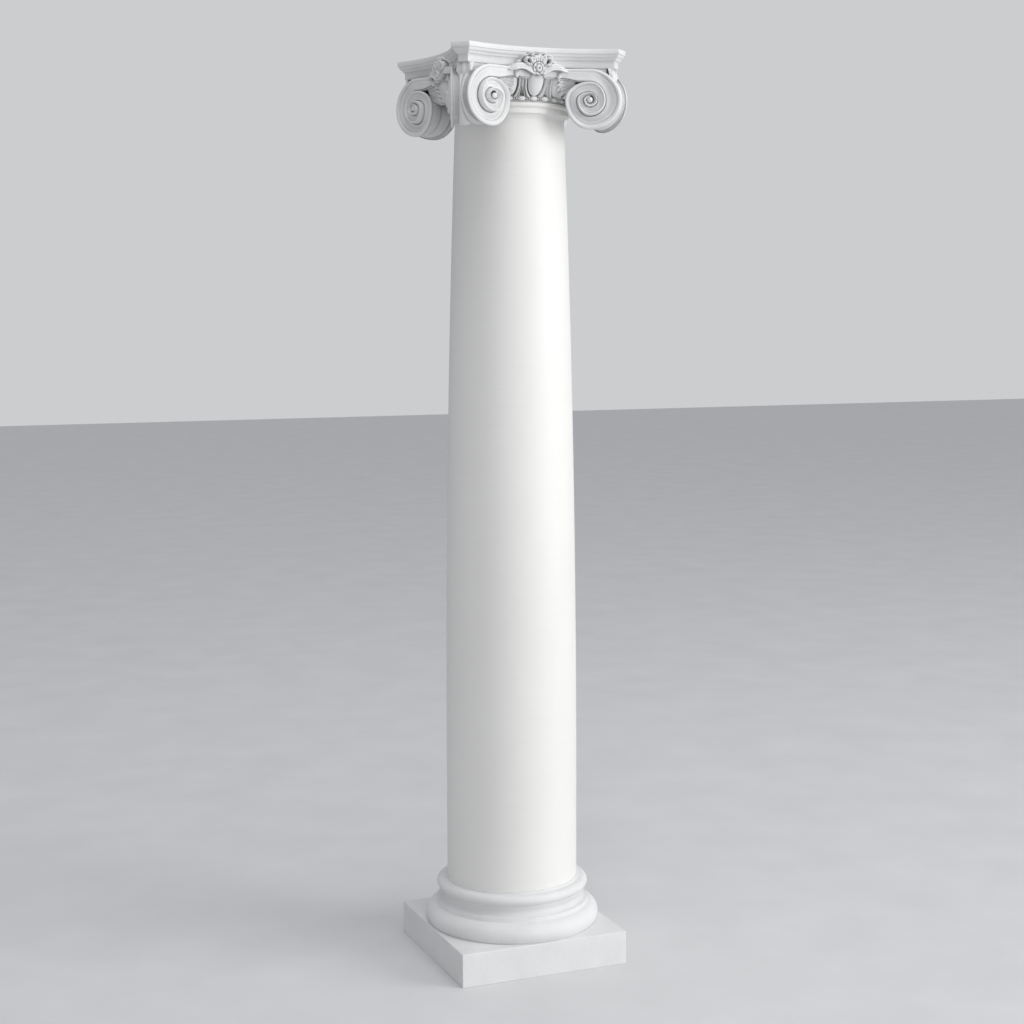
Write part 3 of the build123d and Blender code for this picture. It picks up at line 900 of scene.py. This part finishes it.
def make_tongue():
    """Leaf that hangs under a horn, worked out facing the front and turned to the corner."""
    tongue = Relief((-29.0, 29.0), (2925.0, 2990.0), 74, 60, TONGUE_GROUND)
    z = tongue.z
    half = TONGUE_HALF * np.clip((z - TONGUE_TIP) / 34.0, 0.0, 1.0) ** 0.62
    edge = tongue.side / np.maximum(half, 0.5)
    leaf = 4.0 + TONGUE_ARCH * np.sin(math.pi * np.clip((z - 2930.0) / 68.0, 0, 1))
    leaf = leaf + TONGUE_RISE * rounded(edge, 2.2)
    ribs = np.cos(tongue.x / 28.0 * math.pi * 2.6 + 0.5)
    leaf = leaf + TONGUE_RIB * ribs * smooth(0.86, 0.7, edge) * smooth(2944.0, 2956.0, z)
    leaf = leaf - 3.0 * smooth(0.72, 0.8, edge) * smooth(0.93, 0.85, edge) * smooth(2980.0, 2968.0, z)
    leaf = leaf + 5.0 * bell_curve(edge - 0.9, 0.1) * smooth(2980.0, 2966.0, z)
    tongue.add(walled(leaf, edge, 40.0))
    curl = tongue.ellipse(*TONGUE_CURL)
    tongue.add(17.0 - 36.0 * (curl - 0.62) ** 2, curl < 1)
    shade = painted_hollow_shade(tongue.height, (0.6, 2, 4.0), (0.4, 5, 12.0))
    out = TONGUE_OUT + tongue.height
    points = np.stack([tongue.x + out, tongue.x - out, z * math.sqrt(2)], axis=-1) / math.sqrt(2)
    shell = Shell()
    shell.grid(points, shade=shade)
    return shell


# Bell, eggs and beads

BELL_FOOT_RADIUS = NECK_RADIUS + 20.0
BELL_TOP_RADIUS = NECK_RADIUS + 46.0
BELL_TOP = BAND_BOTTOM + BAND_ARCH + 13.0
EGGS = 16
# Radius that turns an angle on the bell into millimetres of the eggs' pattern
EGG_RING = 226.0
EGG_HALF = 27.0
EGG_SHOULDER = 13.0
BEADS = 32
BEAD_RADIUS = 8.0
BEAD_HALF = 13.2
BEAD_RING = NECK_RADIUS + 22.0
REEL_RADIUS = 6.6
REEL_HALF = 2.5
REEL_PLACE = 16.4
THREAD_RADIUS = 3.4
EGG_RISE = 14.5
EGG_FOOT = 2.5
HUSK_RISE = 13.0
DART_RISE = 12.0
LEAF_RISE = 8.0
DRUM_RADIUS = NECK_RADIUS + 19.5
SHELF_LEVEL = BAND_BOTTOM + BAND_ARCH
SHELF_EDGE = NECK_RADIUS + 56.0


def add_egg_row(shell):
    """Sloping bell with its egg-and-dart, as one relief round the column."""
    around = bearings(80 * EGGS)[None, :]
    s = np.linspace(0.0, 1.0, 64)[:, None]
    foot = np.array([BELL_FOOT_RADIUS, BEAD_TOP])
    slope = np.array([BELL_TOP_RADIUS, BELL_TOP]) - foot
    length = math.hypot(*slope)
    pitch = 2 * math.pi / EGGS
    a = np.abs((around + pitch / 2) % pitch - pitch / 2) * EGG_RING
    b = (s - 0.5) * length

    # Egg: a shield shape, full at the shoulders and rounded below
    below = np.maximum(EGG_SHOULDER - b, 0.0) / (EGG_SHOULDER + length / 2 - 1.0)
    egg = ((a / EGG_HALF) ** 2.1 + below**2.1) ** (1 / 2.1)
    off = (egg - 1.0) * EGG_HALF
    relief = np.where(egg < 1, EGG_FOOT + EGG_RISE * np.maximum(1 - egg**2.4, 0) ** 0.5, 0.0)
    # Husk: a thick rim that follows the egg, and a second, thinner one
    husk = HUSK_RISE * np.maximum(1 - ((off - 7.2) / 3.6) ** 2, 0.0) ** 0.6
    leaf_place = 13.0 + 1.5 * smooth(0.0, -30.0, b)
    leaf = LEAF_RISE * np.maximum(1 - ((off - leaf_place) / 2.2) ** 2, 0.0) ** 0.6
    # Dart: narrow ridge between two husks, pointed below
    away = pitch / 2 * EGG_RING - a
    wide = 1.4 + 3.4 * smooth(-29.0, 12.0, b)
    dart = DART_RISE * np.maximum(1 - away / wide, 0.0) ** 0.7 * smooth(-33.0, -22.0, b)
    relief = np.maximum(np.maximum(np.maximum(relief, husk), dart), leaf)
    # Ground between them, and a deep channel round each egg
    relief = np.where(relief > 0.3, relief, relief - 2.0 - 9.0 * smooth(2.0, -22.0, b))
    relief = np.where((off > 0) & (off < 3.8), np.minimum(relief, -4.5), relief)
    relief = relief * smooth(0.5 * length, 0.5 * length - 12.0, b)

    radius = foot[0] + slope[0] * s + slope[1] / length * relief
    level = foot[1] + slope[1] * s - slope[0] / length * relief
    shade = painted_hollow_shade(relief, (0.7, 2, 6.0), (0.5, 6, 12.0))
    shell.grid(around_axis(radius, around, level), wrap=True, shade=shade)


def add_bead_row(shell):
    """A long bead and two reels to each step, on a thread."""
    around = bearings(30 * BEADS)[None, :]
    step = 2 * math.pi / BEADS
    x = np.abs(((around + step / 2) % step - step / 2) * BEAD_RING)
    bead = BEAD_RADIUS * np.maximum(1 - (x / BEAD_HALF) ** 2.6, 0.0) ** 0.5
    reel = REEL_RADIUS * np.maximum(1 - ((x - REEL_PLACE) / REEL_HALF) ** 2, 0.0) ** 0.5
    tube = np.maximum(np.maximum(bead, reel), THREAD_RADIUS)
    lean = np.radians(np.linspace(-118, 118, 17))[:, None]
    # Painted shade: darker on the thread between the beads and on the upper and lower flanks of the row
    shade = 0.8 * np.exp(-(tube - THREAD_RADIUS) / 1.2) + 0.5 * smooth(0.5, 1.4, np.abs(lean))
    level = BEAD_TOP - BEAD_RADIUS + tube * np.sin(lean)
    shell.grid(around_axis(BEAD_RING + tube * np.cos(lean), around, level), wrap=True, shade=shade)


def make_bell():
    """Egg row, bead row, the drum behind them and the shelf over the eggs."""
    shell = Shell()
    add_egg_row(shell)
    add_bead_row(shell)
    drum = [
        (CORE_RADIUS, COLUMN_HEIGHT), (CORE_RADIUS, SHAFT_TOP), (BEAD_RING, SHAFT_TOP),
        (BEAD_RING, SHAFT_TOP + 1.0), (DRUM_RADIUS, SHAFT_TOP + 3.0), (DRUM_RADIUS, BEAD_TOP + 1.0),
    ]
    lathe(shell, drum, 192)
    shelf = [
        (SHELF_EDGE - 4.0, SHELF_LEVEL), (SHELF_EDGE, SHELF_LEVEL), (SHELF_EDGE, SHELF_LEVEL + 3.0),
        (SHELF_EDGE - 16.0, ABACUS_BOTTOM),
    ]
    lathe(shell, shelf, 192)
    return shell


# Shaft, base and plinth

CAVETTO = (15.0, 17.0)
# Small steps above the cavetto: (out from its top, level)
NECK_STEPS = ((0.0, 2846.2), (0.6, 2846.8), (0.9, 2848.0), (0.0, 2862.0), (-0.4, 2863.6), (0.4, 2864.2))
ASTRAGAL_RADIUS = NECK_RADIUS + 23.0
ASTRAGAL_BEAD = 9.5
PLINTH_ARRIS = 2.6
PLINTH_CORNER = 2.4
PLINTH_FOOT_CORNER = 2.0
PLINTH_FOOT_ARRIS = 1.2


def entasis(share):
    """(radius, level) of the shaft's outside, a share of the way up its tapered part."""
    taper = (NECK_RADIUS - FOOT_RADIUS) * share**2
    return FOOT_RADIUS + taper, ENTASIS_START + (NECK_LEVEL - ENTASIS_START) * share


def make_shaft():
    """Hollow shaft, straight at the foot and tapered above, with the neck's mouldings."""
    shell = Shell()
    fillet = NECK_RADIUS + CAVETTO[0]
    bead = ASTRAGAL_RADIUS - ASTRAGAL_BEAD
    profile = [(FOOT_RADIUS, 0.0), (FOOT_RADIUS, 200.0), (FOOT_RADIUS, ENTASIS_START)]
    profile += [entasis(share) for share in np.linspace(0.0, 1.0, 60)[1:]]
    profile += arc((fillet, NECK_LEVEL), CAVETTO, 180, 92, 12)
    profile += [(fillet + out, level) for out, level in NECK_STEPS]
    profile += arc((bead, SHAFT_TOP - ASTRAGAL_BEAD), (ASTRAGAL_BEAD, ASTRAGAL_BEAD), -78, 84, 16)
    profile += [(bead, SHAFT_TOP), (CORE_RADIUS, SHAFT_TOP), (CORE_RADIUS, NECK_LEVEL)]
    for share in np.linspace(1.0, 0.0, 20):
        radius, level = entasis(share)
        profile.append((radius - WALL, level))
    profile += [(FOOT_RADIUS - WALL, 0.0), (FOOT_RADIUS, 0.0)]
    lathe(shell, profile, 256)
    return shell


def make_base():
    """Lip, upper torus, fillet, scotia, fillet and lower torus, as (out from the shaft, level)."""
    shell = Shell()
    lip = [(4.5, BASE_TOP), (5.3, 272.4), (5.3, 265.6), (5.9, 264.3), (8.3, 264.0)]
    upper_torus = three_point((20.0, 263.8), (36.5, 246.5), (22.5, 229.6), 26)
    upper_fillet = [(20.8, 229.0), (20.5, 227.8), (20.5, 216.4), (19.6, 215.2)]
    scotia = three_point((19.3, 214.6), (19.5, 202.0), (36.6, 191.8), 20)
    lower_fillet = [(37.4, 191.6), (38.0, 190.8), (38.0, 178.8), (38.6, 177.6)]
    lower_torus = three_point((40.0, 177.2), (74.2, 137.0), (66.0, PLINTH_HEIGHT), 40)
    outline = lip + upper_torus + upper_fillet + scotia + lower_fillet + lower_torus
    outline.append((65.0, PLINTH_HEIGHT))
    profile = [(FOOT_BORE, BASE_TOP)]
    profile += [(FOOT_RADIUS + out, level) for out, level in outline]
    profile.append((FOOT_BORE, PLINTH_HEIGHT))
    lathe(shell, profile, 288)
    return shell


def square_radius(half, corner, around):
    """Radius at each bearing of a square with rounded corners."""
    major = np.maximum(np.abs(np.cos(around)), np.abs(np.sin(around)))
    minor = np.minimum(np.abs(np.cos(around)), np.abs(np.sin(around)))
    straight = half / major
    core = half - corner
    along = core * (major + minor)
    inside = along**2 - 2 * core**2 + corner**2
    curved = along + np.sqrt(np.maximum(inside, 0))
    return np.where(straight * minor > core, curved, straight)


def make_plinth():
    """Square slab with softened arrises, bored for the shaft."""
    shell = Shell()
    around = bearings(320)
    foot = square_radius(PLINTH_HALF - PLINTH_FOOT_ARRIS, PLINTH_FOOT_CORNER, around)
    wall = square_radius(PLINTH_HALF, PLINTH_CORNER, around)
    rows = [(FOOT_BORE, 0.0), (foot, 0.0)]
    rows += [(wall, level) for level in (PLINTH_FOOT_ARRIS, 28.0, 56.0, 84.0)]
    for t in np.linspace(0, math.pi / 2, 6):
        half = PLINTH_HALF - PLINTH_ARRIS * (1 - math.cos(t))
        level = PLINTH_HEIGHT - PLINTH_ARRIS * (1 - math.sin(t))
        rows.append((square_radius(half, PLINTH_CORNER, around), level))
    rows += [(FOOT_BORE, PLINTH_HEIGHT), (FOOT_BORE, 0.0)]
    points = [around_axis(radius, around, level) for radius, level in rows]
    shell.grid(np.array(points), wrap=True)
    return shell


# Putting the pieces together


def make_column():
    """All the visible pieces, in place of the four CAD solids."""
    casting = casting_white()
    make_abacus().piece("capital_abacus", casting, "mouldings", nodes=("capital",))

    half_scroll = make_half_scroll()
    for corner in range(4):
        scroll = Shell()
        scroll.copy(half_scroll, lambda p: turned(p, corner))
        scroll.copy(half_scroll, lambda p: turned(mirrored_corner(p), corner), mirrored=True)
        scroll.piece(f"capital_volute_{corner + 1}", casting, "mouldings", sharp=50.0)

    make_bell().piece("capital_bell", casting, "mouldings", sharp=60.0)

    leaves = Shell()
    flowers = Shell()
    flower = make_flower()
    palmette = make_palmette()
    tongue = make_tongue()
    for quarter in range(4):
        flowers.copy(flower, lambda p: turned(p, quarter))
        leaves.copy(palmette, lambda p: turned(p, quarter))
        leaves.copy(palmette, lambda p: turned(mirrored_x(p), quarter), mirrored=True)
        leaves.copy(tongue, lambda p: turned(p, quarter))
    leaves.piece("capital_leaves", casting, "mouldings", sharp=60.0)
    flowers.piece("capital_flowers", casting, "mouldings", sharp=60.0)

    make_shaft().piece("shaft_tube", shaft_white(), "shaft", nodes=("shaft",))
    make_base().piece("base_moulding", casting, "mouldings", nodes=("base",))
    make_plinth().piece("plinth_slab", casting, "mouldings", nodes=("plinth",), sharp=30.0)


make_column()

# Floor, light and camera, in metres

FLOOR_REACH = 30.0
# Place, place it points at, size and power of each lamp
LAMPS = {
    "key": ((10.4, -8.7, 4.0), (0, 0, 1.6), 9.0, 1190.0),
    "fill": ((-4.7, -11.4, 2.7), (0, 0, 1.8), 5.0, 140.0),
    "top": ((0.6, -3.4, 9.0), (0, 0, 1.2), 6.0, 200.0),
}
SKY_COLOUR = (0.93, 0.95, 1.0)
SKY_SPAN = (-0.1, 0.9)
SKY_STRENGTH = (0.26, 0.72)
BACKDROP_COLOUR = (0.6, 0.61, 0.62)

# Camera at the photograph's place: azimuth, distance and height, then how it is turned
AZIMUTH = 0.3899
DISTANCE = 6.1358
CAMERA_HEIGHT = 2.22425
PITCH = 0.1124
YAW = 0.0007
ROLL_ANGLE = 0.0033
FOCAL_PIXELS = 1813.6
FRAME_PIXELS = 1024
SENSOR_WIDTH = 36.0


def make_floor():
    """Flat pale floor, wide enough to reach the horizon of the picture."""
    corners = [(-FLOOR_REACH, -FLOOR_REACH, 0), (FLOOR_REACH, -FLOOR_REACH, 0)]
    corners += [(FLOOR_REACH, FLOOR_REACH, 0), (-FLOOR_REACH, FLOOR_REACH, 0)]
    mesh = bpy.data.meshes.new("studio_floor")
    mesh.from_pydata(corners, [], [(0, 1, 2, 3)])
    mesh.materials.append(studio_floor())
    floor = bpy.data.objects.new("studio_floor", mesh)
    bpy.context.scene.collection.objects.link(floor)


def make_lamps():
    """Round soft lamps: key from the right, weak fill from the left, one from above."""
    for name, (place, target, size, power) in LAMPS.items():
        light = bpy.data.lights.new(name, "AREA")
        light.shape = "DISK"
        light.size = size
        light.energy = power
        obj = bpy.data.objects.new(name, light)
        obj.location = place
        obj.rotation_euler = (Vector(target) - Vector(place)).to_track_quat("-Z", "Y").to_euler()
        bpy.context.scene.collection.objects.link(obj)


def make_world():
    """Soft light, stronger from above than from the sides, before a plain grey backdrop."""
    world = bpy.data.worlds.new("studio")
    bpy.context.scene.world = world
    world.use_nodes = True
    tree = world.node_tree
    sky = tree.nodes["Background"]
    sky.inputs["Color"].default_value = (*SKY_COLOUR, 1)
    direction = add_node(tree, "ShaderNodeTexCoord")
    split = add_node(tree, "ShaderNodeSeparateXYZ")
    strength = add_node(tree, "ShaderNodeMapRange")
    for key, value in zip(("From Min", "From Max", "To Min", "To Max"), SKY_SPAN + SKY_STRENGTH):
        strength.inputs[key].default_value = value
    tree.links.new(direction.outputs["Generated"], split.inputs["Vector"])
    tree.links.new(split.outputs["Z"], strength.inputs["Value"])
    tree.links.new(strength.outputs["Result"], sky.inputs["Strength"])
    backdrop = add_node(tree, "ShaderNodeBackground", Color=(*BACKDROP_COLOUR, 1), Strength=1.0)
    seen = add_node(tree, "ShaderNodeLightPath")
    choose = add_node(tree, "ShaderNodeMixShader")
    tree.links.new(seen.outputs["Is Camera Ray"], choose.inputs["Fac"])
    tree.links.new(sky.outputs[0], choose.inputs[1])
    tree.links.new(backdrop.outputs[0], choose.inputs[2])
    tree.links.new(choose.outputs[0], tree.nodes["World Output"].inputs["Surface"])


def make_camera():
    """Camera where the photograph was taken from."""
    bearing = AZIMUTH + YAW
    level = math.cos(PITCH)
    forward = Vector((math.sin(bearing) * level, math.cos(bearing) * level, -math.sin(PITCH)))
    right = Vector((math.cos(bearing), -math.sin(bearing), 0.0))
    up = right.cross(forward)
    rolled_right = right * math.cos(ROLL_ANGLE) - up * math.sin(ROLL_ANGLE)
    rolled_up = right * math.sin(ROLL_ANGLE) + up * math.cos(ROLL_ANGLE)
    place = Vector((-math.sin(AZIMUTH) * DISTANCE, -math.cos(AZIMUTH) * DISTANCE, CAMERA_HEIGHT))
    lens = bpy.data.cameras.new("photo_camera")
    lens.sensor_width = SENSOR_WIDTH
    lens.sensor_fit = "HORIZONTAL"
    lens.lens = FOCAL_PIXELS / FRAME_PIXELS * SENSOR_WIDTH
    camera = bpy.data.objects.new("photo_camera", lens)
    rows = [(rolled_right[i], rolled_up[i], -forward[i], place[i]) for i in range(3)]
    camera.matrix_world = Matrix((*rows, (0.0, 0.0, 0.0, 1.0)))
    bpy.context.scene.collection.objects.link(camera)
    bpy.context.scene.camera = camera
    bpy.context.scene.view_settings.view_transform = "Standard"


make_floor()
make_lamps()
make_world()
make_camera()
